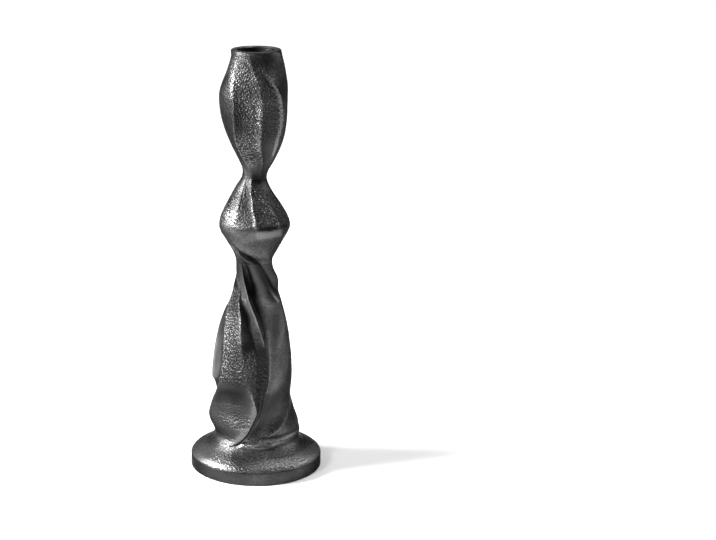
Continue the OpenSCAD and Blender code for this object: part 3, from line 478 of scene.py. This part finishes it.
# The panels between neighbouring folds, each as (level, place between the folds, hollow)
panels = [
    # Behind the left strip
    ((0, 0.5, 0), (0.1, 0.5, 0), (0.12, 0.5, 0.02), (0.25, 0.4, 0.12), (0.36, 0.5, 0.18),
     (0.45, 0.6, 0.18), (0.55, 0.6, 0.16), (0.7, 0.6, 0.14), (0.85, 0.5, 0.1), (1, 0.5, 0.06),
     (1.5, 0.5, 0.04), (2, 0.5, 0), (2.2, 0.5, 0.06), (2.6, 0.4, 0.1), (2.9, 0.5, 0.03), (3, 0.5, 0)),
    # Front face of the skirt, then the apron
    ((0, 0.5, 0), (0.1, 0.5, 0), (0.13, 0.45, 0.06), (0.18, 0.35, 0.1), (0.24, 0.18, 0.22),
     (0.275, 0.14, 0.3), (0.31, 0.12, 0.34), (0.345, 0.14, 0.28), (0.38, 0.2, 0.14),
     (0.43, 0.32, 0.06), (0.5, 0.4, 0.02), (0.6, 0.35, 0.08), (0.7, 0.32, 0.14), (0.8, 0.4, 0.12),
     (0.87, 0.5, 0.08), (1, 0.5, 0.06), (1.5, 0.5, 0.04), (2, 0.5, 0), (2.2, 0.5, 0.06),
     (2.6, 0.4, 0.1), (2.9, 0.5, 0.03), (3, 0.5, 0)),
    # Wall right of the face, then the gap under the hem
    ((0, 0.5, 0), (0.1, 0.5, 0), (0.15, 0.5, 0.02), (0.25, 0.5, 0.02), (0.3, 0.5, 0),
     (0.36, 0.5, -0.01), (0.48, 0.5, 0), (0.54, 0.4, 0.04), (0.6, 0.35, 0.08), (0.65, 0.3, 0.1),
     (0.72, 0.3, 0.08), (0.78, 0.5, 0.04), (0.86, 0.5, 0.03), (1, 0.5, 0.03), (1.5, 0.5, 0.02),
     (2, 0.5, 0), (2.2, 0.5, 0.04), (2.6, 0.4, 0.06), (2.9, 0.5, 0.02), (3, 0.5, 0)),
    # The ribbon, then the slope to the valley
    ((0, 0.5, 0), (0.2, 0.5, 0), (0.32, 0.5, 0.02), (0.4, 0.5, 0.04), (0.5, 0.5, 0.02), (0.6, 0.5, 0),
     (0.8, 0.5, 0), (0.95, 0.5, 0.02), (1.1, 0.5, 0.03), (1.5, 0.5, 0.02), (2, 0.5, 0),
     (2.2, 0.5, 0.04), (2.6, 0.4, 0.06), (2.9, 0.5, 0.02), (3, 0.5, 0)),
    # Drop right of the ribbon, then the rise to the right fold
    ((0, 0.5, 0), (0.1, 0.5, 0), (0.2, 0.5, 0.02), (0.3, 0.5, 0.02), (0.4, 0.6, 0.03),
     (0.54, 0.6, 0.02), (0.62, 0.5, 0.02), (0.68, 0.5, 0.03), (0.75, 0.3, 0.05), (0.82, 0, 0.1),
     (0.88, -0.3, 0.18), (0.94, -0.4, 0.2), (0.985, 0, 0.12), (1.02, 0.3, 0.05), (1.1, 0.5, 0.03),
     (1.5, 0.5, 0.04), (2, 0.5, 0), (2.2, 0.5, 0.06), (2.6, 0.4, 0.1), (2.9, 0.5, 0.03), (3, 0.5, 0)),
    # Band under the crease, then the wide right fold
    ((0, 0.5, 0), (0.1, 0.5, 0), (0.14, 0.5, 0.02), (0.2, 0.5, 0.06), (0.24, 0.5, 0),
     (0.28, 0.3, -0.04), (0.34, 0.18, -0.08), (0.4, 0.14, -0.11), (0.46, 0.14, -0.12),
     (0.55, 0.18, -0.15), (0.6, 0.25, -0.18), (0.645, 0.35, -0.24), (0.69, 0.45, -0.33),
     (0.74, 0.5, -0.42), (0.8, 0.52, -0.53), (0.87, 0.52, -0.56), (0.935, 0.5, -0.42),
     (0.99, 0.5, -0.3), (1.04, 0.5, -0.26), (1.1, 0.5, -0.19), (1.166, 0.5, -0.09), (1.24, 0.5, -0.03),
     (1.3, 0.5, -0.01), (1.5, 0.5, -0.01), (1.8, 0.5, -0.01), (2, 0.5, 0.03), (2.2, 0.5, 0.03),
     (2.6, 0.5, 0.04), (3, 0.5, 0)),
    # Left face of the cup and knop, then the flank right of the right fold
    ((0, 0.5, 0), (0.11, 0.5, 0), (0.15, 0.5, 0.03), (0.22, 0.5, 0.04), (0.3, 0.5, 0.03),
     (0.36, 0.5, 0.02), (0.45, 0.5, 0), (0.55, 0.5, 0), (0.7, 0.5, 0.02), (0.84, 0.5, 0.02),
     (0.88, 0.5, -0.02), (0.924, 0.4, -0.05), (0.975, 0.35, -0.08), (1.04, 0.35, -0.1),
     (1.1, 0.35, -0.16), (1.166, 0.35, -0.14), (1.24, 0.4, -0.05), (1.32, 0.5, -0.01), (1.45, 0.5, 0),
     (1.52, 0.6, 0.1), (1.6, 0.6, 0.2), (1.8, 0.58, 0.2), (1.95, 0.6, 0.14), (2.05, 0.6, 0.08),
     (2.2, 0.5, 0.05), (2.5, 0.5, 0.03), (2.7, 0.5, 0.02), (2.9, 0.5, 0), (3, 0.5, 0)),
    # Hollow right of the cup's left ridge
    ((0, 0.5, 0), (0.105, 0.5, 0), (0.14, 0.5, 0.06), (0.2, 0.4, 0.1), (0.28, 0.45, 0.07),
     (0.35, 0.5, 0.05), (0.6, 0.5, 0.06), (0.8, 0.5, 0.12), (1, 0.5, 0.06), (1.3, 0.5, 0.01),
     (1.455, 0.5, 0.04), (1.49, 0.4, 0.16), (1.53, 0.4, 0.19), (1.7, 0.35, 0.17), (1.85, 0.3, 0.15),
     (1.96, 0.3, 0.14), (2.04, 0.35, 0.14), (2.12, 0.2, 0.3), (2.25, 0.14, 0.32), (2.45, 0.1, 0.3),
     (2.6, 0.1, 0.25), (2.75, 0.15, 0.17), (2.85, 0.3, 0.1), (2.93, 0.4, 0.03), (3, 0.5, 0)),
    # Dark panel of the cup
    ((0, 0.5, 0), (0.1, 0.5, 0), (0.12, 0.5, 0.02), (0.2, 0.5, 0.1), (0.3, 0.5, 0.1), (0.4, 0.5, 0.25),
     (0.6, 0.5, 0.25), (0.8, 0.5, 0.15), (1, 0.5, 0.06), (1.455, 0.5, 0.04), (1.53, 0.5, 0.14),
     (1.7, 0.5, 0.1), (2, 0.5, 0.04), (2.08, 0.5, 0.12), (2.2, 0.5, 0.22), (2.4, 0.4, 0.24),
     (2.6, 0.4, 0.2), (2.8, 0.45, 0.14), (2.93, 0.5, 0.05), (3, 0.5, 0)),
    # Strip right of the cup's right ridge
    ((0, 0.5, 0), (0.1, 0.5, 0), (0.12, 0.5, 0.02), (0.18, 0.5, 0.1), (0.3, 0.5, 0.2),
     (0.6, 0.5, 0.25), (0.85, 0.5, 0.2), (1, 0.5, 0.08), (1.5, 0.5, 0.04), (2, 0.5, 0),
     (2.2, 0.5, 0.13), (2.4, 0.45, 0.18), (2.6, 0.4, 0.18), (2.75, 0.4, 0.16), (2.9, 0.5, 0.06),
     (3, 0.5, 0)),
    # Back
    ((0, 0.5, 0), (0.1, 0.5, 0), (0.12, 0.5, 0.02), (0.18, 0.5, 0.1), (0.3, 0.5, 0.2),
     (0.6, 0.5, 0.25), (0.85, 0.5, 0.2), (1, 0.5, 0.08), (1.5, 0.5, 0.04), (2, 0.5, 0),
     (2.2, 0.5, 0.06), (2.6, 0.4, 0.1), (2.9, 0.5, 0.03), (3, 0.5, 0)),
]


def slopeAt(rows, row, column):
    low, high = max(row - 1, 0), min(row + 1, len(rows) - 1)
    return (rows[high][column] - rows[low][column]) / (rows[high][0] - rows[low][0])


def curve(rows, level, column):
    # one column of a table as a smooth curve over the levels
    row = 0
    while row < len(rows) - 2 and level >= rows[row + 1][0]:
        row += 1
    span = rows[row + 1][0] - rows[row][0]
    t = (level - rows[row][0]) / span
    start, end = rows[row][column], rows[row + 1][column]
    leave, arrive = slopeAt(rows, row, column) * span, slopeAt(rows, row + 1, column) * span
    straight = (2 * t - 3) * t * t * (start - end) + start
    return straight + (t - 1) ** 2 * t * leave + (t - 1) * t * t * arrive


def heightOf(level):
    waist = shape["discTop"] + shape["skirtHigh"]
    if level < 1:
        return shape["discTop"] + shape["skirtHigh"] * level
    if level < 2:
        return waist + shape["knopHigh"] * (level - 1)
    return waist + shape["knopHigh"] + shape["cupHigh"] * (level - 2)


def polar(degrees, radius):
    turn = math.radians(degrees)
    return np.array([radius * math.sin(turn), -radius * math.cos(turn)])


def section(level):
    # one ring of the skin: each panel is a conic arc between two folds, drawn inwards by its hollow
    count = len(folds)
    steps = np.arange(shape["pointsPerPanel"]) / shape["pointsPerPanel"]
    spots = []
    for k in range(count):
        after = (k + 1) % count
        a0, a1 = curve(folds[k], level, 1), curve(folds[after], level, 1) + (360 if after == 0 else 0)
        r0, r1 = curve(folds[k], level, 2), curve(folds[after], level, 2)
        place, hollow = curve(panels[k], level, 1), curve(panels[k], level, 2)
        weight = math.cos(math.radians(a1 - a0) / 2)
        middle = polar(mix(a0, a1, place), mix(r0, r1, min(max(place, 0), 1)) / weight - hollow)
        low, mid, high = (1 - steps) ** 2, 2 * steps * (1 - steps) * weight, steps ** 2
        arc = np.outer(low, polar(a0, r0)) + np.outer(mid, middle) + np.outer(high, polar(a1, r1))
        spots.append(arc / (low + mid + high)[:, None])
    return np.vstack(spots) * curve(profile, level, 1)


# Blurring of the skin and of the marks on it: the share that a point keeps, the share that it takes from
# each of its four neighbours, and how many rounds each thing gets
blurring = {
    "skin": (0.5, 0.125),
    "marks": (0.4, 0.15),
    "skinRounds": 2,
    "wearRounds": 14,
    "patchRounds": 60,
    "lineRounds": 4,
    "grainRounds": 24,
}


def foldedSkin(levels):
    around = len(folds) * shape["pointsPerPanel"]
    rings = np.array([np.column_stack([section(v), np.full(around, heightOf(v))]) for v in levels])
    keep, take = blurring["skin"]
    for _ in range(blurring["skinRounds"]):
        inner = rings[1:-1] * keep + (rings[:-2] + rings[2:]) * take
        turned = np.roll(rings, 1, 1) + np.roll(rings, -1, 1)
        rings[1:-1] = inner + turned[1:-1] * take
    return rings


def blurred(grid, rounds):
    keep, take = blurring["marks"]
    for _ in range(rounds):
        padded = np.concatenate([grid[:1], grid, grid[-1:]])
        beside = padded[:-2] + padded[2:] + np.roll(grid, 1, 1) + np.roll(grid, -1, 1)
        grid = grid * keep + beside * take
    return grid


def wearOf(rings):
    # how far each point stands proud of its neighbours: ridges above a half, hollows below
    smooth = blurred(rings, blurring["wearRounds"])
    proud = np.hypot(rings[..., 0], rings[..., 1]) - np.hypot(smooth[..., 0], smooth[..., 1])
    return np.clip(casting["half"] + proud / casting["fullRelief"], 0, 1)


# Patches on the skin, each as (panel, from level, to level, from share of the panel, to share, amount);
# where two overlap, the later one counts
grainEverywhere = 0.3
grainPatches = [
    (7, 2.14, 2.66, 0, 1, 2.3), (7, 2.66, 2.96, 0, 1, 1.3), (8, 2.3, 2.9, 0, 1, 1.3),
    (6, 2.5, 2.9, 0, 1, 0.7), (6, 1.5, 1.9, 0, 1, 0.7), (7, 1.5, 1.93, 0, 1, 2.3),
    (8, 1.5, 1.85, 0, 1, 1.5), (5, 1.45, 1.85, 0, 1, 1.0), (4, 1.45, 1.85, 0, 1, 0.9),
    (1, 0.4, 0.6, 0, 1, 1.7), (1, 0.6, 0.86, 0, 1, 1.3), (1, 0.12, 0.24, 0, 1, 0.7),
    (2, 0.3, 0.58, 0, 1, 1.5), (3, 0.28, 0.5, 0, 1, 1.5), (4, 0.2, 0.45, 0, 1, 0.8),
    (5, 0.1, 0.2, 0, 1, 1.0), (6, 0.11, 0.18, 0, 1, 1.2), (0, 0.35, 0.75, 0, 1, 0.1),
    (9, 0.3, 0.9, 0, 1, 0.9), (10, 1.5, 2.9, 0, 1, 0.8), (5, 0.0, 0.08, 0, 1, 0.6),
    (6, 0.0, 0.08, 0, 1, 0.7), (4, 0.0, 0.05, 0, 1, 0.6), (7, 0.0, 0.08, 0, 1, 0.6),
    (2, 0.0, 0.05, 0, 1, 0.5), (3, 0.0, 0.05, 0, 1, 0.5),
]
# Painted highlights and painted shade: shifts of the same mark that lighten lit faces, crests and the
# foot, and darken shaded hollows, creases and valleys
paintedLightPatches = [
    (7, 2.36, 2.66, 0, 0.7, -0.28), (7, 2.1, 2.34, 0, 0.85, 0.32), (7, 1.96, 2.06, 0.1, 1, -0.5),
    (8, 1.96, 2.06, 0, 1, -0.4), (7, 2.66, 2.95, 0.3, 1, -0.2), (7, 2.74, 2.95, 0, 0.3, 0.4),
    (6, 2.15, 2.8, 0.1, 1, -0.22), (8, 2.2, 2.9, 0, 1, -0.05), (7, 2.05, 2.5, 0.85, 1, -0.25),
    (8, 2.05, 2.5, 0, 0.15, -0.25), (8, 2.6, 3, 0, 1, -0.02), (9, 2.6, 3, 0, 1, -0.05),
    (6, 1.5, 1.92, 0.35, 0.82, -0.62), (5, 1.48, 1.66, 0, 1, 0.25), (6, 1.48, 1.66, 0, 0.35, 0.25),
    (4, 1.48, 1.66, 0, 1, 0.3), (6, 1.0, 1.4, 0, 1, 0.1), (5, 0.84, 1.08, 0, 1, -0.25),
    (0, 0.4, 0.75, 0, 1, 0.15), (1, 0.5, 0.74, 0, 0.35, 0.2), (1, 0.3, 0.6, 0.45, 1, -0.3),
    (1, 0.74, 0.92, 0, 1, -0.3), (1, 0.28, 0.37, 0.05, 0.5, -0.6), (1, 0.12, 0.28, 0, 1, -0.3),
    (2, 0.3, 0.6, 0, 1, -0.2), (3, 0.25, 0.5, 0, 1, -0.25), (4, 0.25, 0.6, 0.5, 1, -0.35),
    (5, 0.25, 0.6, 0, 0.4, 0.3), (5, 0.38, 0.75, 0, 1, 0.12), (5, 0.12, 0.36, 0, 1, -0.2),
    (3, 0.7, 0.95, 0, 1, 0.05), (4, 0.1, 0.13, 0, 1, 0.5), (5, 0.1, 0.13, 0, 1, 0.5),
    (6, 0.1, 0.13, 0, 1, 0.4), (5, 0.0, 0.045, 0, 1, 0.35), (6, 0.0, 0.045, 0, 1, 0.5),
    (7, 0.0, 0.045, 0, 1, 0.45), (1, 0.0, 0.06, 0, 1, 0.3), (2, 0, 0.05, 0, 1, 0.4),
    (3, 0, 0.05, 0, 1, 0.4), (2, 0.05, 0.1, 0, 1, 0.1), (3, 0.05, 0.1, 0, 1, 0.1),
    (0, 0.03, 0.1, 0, 1, -0.2), (1, 0.06, 0.1, 0, 1, -0.1),
]

# Narrow lines of painted highlight along the crests and of painted shade beside them, written like the
# patches
paintedEdgeLines = [
    (6, 2.66, 2.86, 0.86, 1, 0.3), (6, 2.1, 2.6, 0.93, 1, 0.2), (7, 2.2, 2.62, 0.92, 1, 0.35),
    (8, 2.2, 2.86, 0.92, 1, 0.7), (9, 2.3, 2.8, 0, 0.2, -0.3), (8, 2.2, 2.8, 0, 0.12, -0.3),
    (6, 1.5, 1.9, 0.88, 1, 1.0), (7, 1.5, 1.9, 0, 0.12, -0.4), (7, 1.5, 1.85, 0.93, 1, 0.25),
    (7, 1.455, 1.49, 0, 1, -0.45), (8, 1.455, 1.49, 0, 0.6, -0.35), (6, 1.455, 1.475, 0, 1, -0.15),
    (7, 1.36, 1.44, 0, 1, 0.25), (1, 0.09, 0.2, 0.92, 1, 0.5), (5, 0.2, 0.6, 0, 0.12, 0.4),
    (4, 0.25, 0.6, 0.88, 1, -0.4), (3, 0.6, 0.9, 0.88, 1, 0.4),
]


def patched(levels, patches, amount, rounds):
    # an amount for every point of the skin, with soft borders round the patches
    each = shape["pointsPerPanel"]
    grid = np.full((len(levels), len(folds) * each), amount)
    for panel, low, high, start, end, change in patches:
        rows = [k for k, level in enumerate(levels) if low <= level <= high]
        grid[rows, round((panel + start) * each):round((panel + end) * each)] = change
    return blurred(grid, rounds)


# Wear of the surfaces beside the skin, written into the same mark as the painted light (the rim's flat
# top made fully bright), and the angle from which an edge stays sharp
ends = {"bore": 0.4, "joint": 0.6, "rim": 1.0, "sharpAngle": 42}


# A closed casting: the folded skin, its two flat ends, and the holes in them
class Casting:
    def __init__(self):
        self.points, self.faces, self.marks = [], [], {"wearAndPaintedLight": [], "skin": [], "grain": []}

    def ring(self, points, wearAndPaintedLight, skin=0.0, grain=grainEverywhere):
        first = len(self.points)
        self.points += [tuple(p) for p in points]
        for label, value in (("wearAndPaintedLight", wearAndPaintedLight), ("skin", skin), ("grain", grain)):
            self.marks[label] += list(value) if hasattr(value, "__len__") else [value] * len(points)
        return list(range(first, first + len(points)))

    def circle(self, x, y, z, radius, count, wearAndPaintedLight=ends["bore"]):
        turns = [2 * math.pi * k / count for k in range(count)]
        return self.ring([(x + radius * math.cos(t), y + radius * math.sin(t), z) for t in turns], wearAndPaintedLight)

    def wall(self, one, other):
        for k in range(len(one)):
            after = (k + 1) % len(one)
            self.faces.append((one[k], one[after], other[after], other[k]))

    def cap(self, border, gaps):
        loops = [border] + gaps
        flat = [index for loop in loops for index in loop]
        corners = tessellate_polygon([[Vector((*self.points[i][:2], 0)) for i in loop] for loop in loops])
        self.faces += [tuple(flat[i] for i in corner) for corner in corners]

    def object(self, name, material):
        mesh = bpy.data.meshes.new(name)
        mesh.from_pydata(self.points, [], self.faces)
        for label, values in self.marks.items():
            mesh.attributes.new(label, "FLOAT", "POINT").data.foreach_set("value", values)
        work = bmesh.new()
        work.from_mesh(mesh)
        bmesh.ops.recalc_face_normals(work, faces=work.faces[:])
        work.to_mesh(mesh)
        work.free()
        mesh.shade_smooth()
        mesh.set_sharp_from_angle(angle=math.radians(ends["sharpAngle"]))
        mesh.materials.append(material)
        return placed(name, mesh)


# Holes in the castings, sized as in the part's source, and the eased edges of their ends
holes = {
    "socketRadius": 0.011,
    "socketDepth": 0.025,
    "socketChamfer": 0.0006,
    "rodRadius": 0.0033,
    "rodTapRadius": 0.00305,
    "rodTapDepth": 0.024,
    "coreMouth": 0.0105,
    "coreEnd": 0.009,
    "coreDepth": 0.054,
    "upperDowel": {"x": -0.005364, "radius": 0.00105, "depth": 0.0029},
    "lowerDowel": {"x": -0.0077, "radius": 0.00155, "depth": 0.0054},
    "screwCircle": 0.024,
    "screwRadius": 0.00205,
    "screwTop": 0.015,
    "screws": 3,
    "firstScrew": 90,
    "socketSides": 96,
    "coreSides": 72,
    "rodSides": 48,
    "smallSides": 24,
    "rimEase": 0.0004,
    "hemEase": 0.0003,
    "jointEase": 0.00003,  # the castings are filed flush where they meet
    "outerLift": 0.0003,
    "jointLift": 0.0001,
}

# How many steps each casting has from its first ring of points to its last. Those of the skirt's foot are
# closer together, up to the level where it ends. The relief grows over some rings from either end
stacking = {"cup": 140, "knop": 110, "foot": 60, "skirt": 210, "footEnds": 0.13, "growth": 6}


def addSkin(made, levels):
    skin = foldedSkin(levels)
    # painted highlights and painted shade from the patches and lines are added to the wear measured from
    # the relief
    paintedLight = patched(levels, paintedLightPatches, 0.0, blurring["patchRounds"])
    paintedLight += patched(levels, paintedEdgeLines, 0.0, blurring["lineRounds"])
    wearWithPaintedLight = np.clip(wearOf(skin) + paintedLight, 0, 1)
    grains = patched(levels, grainPatches, grainEverywhere, blurring["grainRounds"])
    loops = []
    for row, (points, wearAndPaintedLight, grain) in enumerate(zip(skin, wearWithPaintedLight, grains)):
        edge = min(row, len(levels) - 1 - row)
        loops.append(made.ring(points, wearAndPaintedLight, min(edge / stacking["growth"], 1.0), grain))
    for low, high in zip(loops, loops[1:]):
        made.wall(low, high)
    return loops[0], loops[-1]


def eased(made, border, ease, lift, wearAndPaintedLight=ends["joint"]):
    # a narrow slope from the skin's last ring to the flat end
    drawn = []
    for x, y, z in (made.points[i] for i in border):
        inward = 1 - ease / math.hypot(x, y)
        drawn.append((x * inward, y * inward, z + lift))
    inner = made.ring(drawn, wearAndPaintedLight)
    made.wall(border, inner)
    return inner


def blindHole(made, x, y, low, high, radius, count=holes["smallSides"]):
    mouth, end = made.circle(x, y, low, radius, count), made.circle(x, y, high, radius, count)
    made.wall(mouth, end)
    made.cap(end, [])
    return mouth


def dowelHole(made, dowel, face, way):
    # way is 1 for a hole that goes up from the joint's face, and -1 for one that goes down
    return blindHole(made, dowel["x"], 0, face, face + way * dowel["depth"], dowel["radius"])


def levelsFrom(low, high, count):
    return [mix(low, high, k / count) for k in range(count + 1)]


def trimmed(low, high, count, below, above):
    # levels that stop short of both ends, to leave room for the eased edges
    span = heightOf(high) - heightOf(low)
    return levelsFrom(mix(low, high, below / span), mix(low, high, 1 - above / span), count)


def castCup(material):
    made = Casting()
    low, high = heightOf(2), heightOf(3)
    bottom, top = addSkin(made, trimmed(2, 3, stacking["cup"], holes["jointLift"], holes["outerLift"]))
    rim = eased(made, top, holes["rimEase"], holes["outerLift"], ends["rim"])
    foot = eased(made, bottom, holes["jointEase"], -holes["jointLift"])
    chamfer, radius, sides = holes["socketChamfer"], holes["socketRadius"], holes["socketSides"]
    mouth = made.circle(0, 0, high, radius + chamfer, sides, ends["rim"])
    lip = made.circle(0, 0, high - chamfer, radius, sides)
    floor = made.circle(0, 0, high - holes["socketDepth"], radius, sides)
    made.wall(mouth, lip)
    made.wall(lip, floor)
    made.cap(floor, [])
    made.cap(rim, [mouth])
    made.cap(foot, [
        blindHole(made, 0, 0, low, low + holes["rodTapDepth"], holes["rodTapRadius"], holes["rodSides"]),
        dowelHole(made, holes["upperDowel"], low, 1),
    ])
    return made.object("castCup", material)


def castKnop(material):
    made = Casting()
    low, high = heightOf(1), heightOf(2)
    bottom, top = addSkin(made, trimmed(1, 2, stacking["knop"], holes["jointLift"], holes["jointLift"]))
    crown = eased(made, top, holes["jointEase"], holes["jointLift"])
    foot = eased(made, bottom, holes["jointEase"], -holes["jointLift"])
    lowRod, highRod = (made.circle(0, 0, z, holes["rodRadius"], holes["rodSides"]) for z in (low, high))
    made.wall(lowRod, highRod)
    made.cap(foot, [lowRod, dowelHole(made, holes["lowerDowel"], low, 1)])
    made.cap(crown, [highRod, dowelHole(made, holes["upperDowel"], high, -1)])
    return made.object("castKnop", material)


def castSkirt(material):
    made = Casting()
    low, high = heightOf(0), heightOf(1)
    first, last = holes["outerLift"] / (high - low), 1 - holes["jointLift"] / (high - low)
    levels = levelsFrom(first, stacking["footEnds"], stacking["foot"])[:-1]
    levels += levelsFrom(stacking["footEnds"], last, stacking["skirt"])
    bottom, top = addSkin(made, levels)
    crown = eased(made, top, holes["jointEase"], holes["jointLift"])
    foot = eased(made, bottom, holes["hemEase"], -holes["outerLift"])
    coreTop = low + holes["coreDepth"]
    rodHigh = made.circle(0, 0, high, holes["rodRadius"], holes["rodSides"])
    rodLow = made.circle(0, 0, coreTop, holes["rodRadius"], holes["rodSides"])
    seat = made.circle(0, 0, coreTop, holes["coreEnd"], holes["coreSides"])
    mouth = made.circle(0, 0, low, holes["coreMouth"], holes["coreSides"])
    made.wall(rodLow, rodHigh)
    made.wall(mouth, seat)
    made.cap(seat, [rodLow])
    made.cap(crown, [rodHigh, dowelHole(made, holes["lowerDowel"], high, -1)])
    screws = []
    for k in range(holes["screws"]):
        turn = math.radians(holes["firstScrew"] + 360 * k / holes["screws"])
        x, y = holes["screwCircle"] * math.cos(turn), holes["screwCircle"] * math.sin(turn)
        screws.append(blindHole(made, x, y, low, holes["screwTop"], holes["screwRadius"]))
    made.cap(foot, [mouth] + screws)
    return made.object("castSkirt", material)


# The moulded skin: long waves and short ripples of the hand-finished pattern, and the grain of the sand,
# pushed in or out along the surface's normal, and held back at joints, bores and flat ends
moulding = {
    "Wave Size": 0.011,
    "Wave Depth": 0.0003,
    "Ripple Size": 0.0032,
    "Ripple Depth": 0.00004,
    "Grain Size": casting["grainSize"],
    "Grain Depth": 0.00014,
}


def mouldedSkin(material):
    tree = bpy.data.node_groups.new("mouldedSkin", "GeometryNodeTree")
    face = tree.interface
    face.new_socket("Geometry", in_out="INPUT", socket_type="NodeSocketGeometry")
    for label, value in moulding.items():
        face.new_socket(label, in_out="INPUT", socket_type="NodeSocketFloat").default_value = value
    face.new_socket("Geometry", in_out="OUTPUT", socket_type="NodeSocketGeometry")
    entry, out = tree.nodes.new("NodeGroupInput"), tree.nodes.new("NodeGroupOutput")
    tool = Wire(tree)
    given = {socket.name: Wire(tree, socket) for socket in entry.outputs if socket.name}
    skin = tool.node("GeometryNodeInputNamedAttribute", {"data_type": "FLOAT"}, {"Name": "skin"})
    normal = tool.node("GeometryNodeInputNormal")
    push = None
    for kind in ("Wave", "Ripple"):
        scale = tool.maths("DIVIDE", 1.0, given[kind + " Size"])
        swell = tool.node("ShaderNodeTexNoise", None, {"Scale": scale, "Detail": 1.0}) - casting["half"]
        step = swell * given[kind + " Depth"]
        push = step if push is None else push + step
    coarse = tool.node("GeometryNodeInputNamedAttribute", {"data_type": "FLOAT"}, {"Name": "grain"})
    cells = tool.node("ShaderNodeTexVoronoi", {"feature": "SMOOTH_F1"}, {
        "Scale": tool.maths("DIVIDE", 1.0, given["Grain Size"]), "Smoothness": casting["grainSoftness"],
    })
    push = push + (casting["middleCell"] - cells) * coarse * given["Grain Depth"]
    offset = tool.node("ShaderNodeVectorMath", {"operation": "SCALE"}, {0: normal, "Scale": push * skin})
    moved = tool.node("GeometryNodeSetPosition", None, {"Geometry": given["Geometry"], "Offset": offset})
    real = tool.node("GeometryNodeRealizeInstances", None, {"Geometry": moved})
    done = tool.node("GeometryNodeSetMaterial", None, {"Geometry": real, "Material": material})
    tree.links.new(done.socket, out.inputs[0])
    return tree


def settled(piece):
    # what the modifiers make becomes the piece's own plain mesh
    graph = bpy.context.evaluated_depsgraph_get()
    mesh = bpy.data.meshes.new_from_object(
        piece.evaluated_get(graph), preserve_all_data_layers=True, depsgraph=graph,
    )
    piece.modifiers.clear()
    piece.data = mesh


def moulded(piece, tree, depths):
    work = piece.modifiers.new("moulding", "NODES")
    work.node_group = tree
    for item in tree.interface.items_tree:
        if item.in_out == "INPUT" and item.name in depths:
            work[item.identifier] = depths[item.name]
    settled(piece)
    return piece


castMetal = castingMaterial()
tree = mouldedSkin(castMetal)
for node, build in (("cup", castCup), ("knop", castKnop), ("skirt", castSkirt)):
    piece = moulded(build(castMetal), tree, moulding)
    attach(piece, "root")
    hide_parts(node)
    print(piece.name, len(piece.data.polygons), "faces")


# Disc, washer, nut and felt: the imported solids, with their edges eased by the width given
steelMetal = steelMaterial()
easing = {
    "foot_disc": {
        "name": "footDisc", "width": 0.00035, "slot": "blackened_casting", "material": castMetal,
    },
    "tie_washer": {"name": "tieWasher", "width": 0.00015, "slot": "plain_steel", "material": steelMetal},
    "tie_nut": {"name": "tieNut", "width": 0.0003, "slot": "plain_steel", "material": steelMetal},
    "felt_pad": {"name": "feltPad", "width": 0.0002, "slot": "felt", "material": feltMaterial()},
}
edges = {"steps": 3, "fromAngle": 40, "sharpAngle": 30, "mergeGap": 0.000002, "flatAngle": 0.5}


def easedCopy(node, plan):
    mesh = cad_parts[node].data.copy()
    mesh.name = plan["name"]
    work = bmesh.new()
    work.from_mesh(mesh)
    bmesh.ops.remove_doubles(work, verts=work.verts[:], dist=edges["mergeGap"])
    flat = math.radians(edges["flatAngle"])
    bmesh.ops.dissolve_limit(work, angle_limit=flat, verts=work.verts[:], edges=work.edges[:])
    bmesh.ops.recalc_face_normals(work, faces=work.faces[:])
    work.to_mesh(mesh)
    work.free()
    mesh.materials.clear()
    mesh.materials.append(plan["material"])
    piece = placed(plan["name"], mesh)
    bevel = piece.modifiers.new("ease", "BEVEL")
    bevel.width, bevel.segments, bevel.limit_method = plan["width"], edges["steps"], "ANGLE"
    bevel.angle_limit = math.radians(edges["fromAngle"])
    bevel.use_clamp_overlap = True
    settled(piece)
    piece.data.shade_smooth()
    piece.data.set_sharp_from_angle(angle=math.radians(edges["sharpAngle"]))
    for label, value in (("wearAndPaintedLight", casting["half"]), ("grain", grainEverywhere)):
        marks = piece.data.attributes.new(label, "FLOAT", "POINT")
        marks.data.foreach_set("value", [value] * len(piece.data.vertices))
    return piece


for node, plan in easing.items():
    piece = easedCopy(node, plan)
    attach(piece, "root")
    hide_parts(node)
    print(piece.name, len(piece.data.polygons), "faces")

# The rest of the hardware stays as it was packed, in the same steel
for node in ("tie_rod", "upper_dowel", "lower_dowel", "foot_screws"):
    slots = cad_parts[node].data.materials
    slots.clear()
    slots.append(steelMetal)
print("hardware dressed")
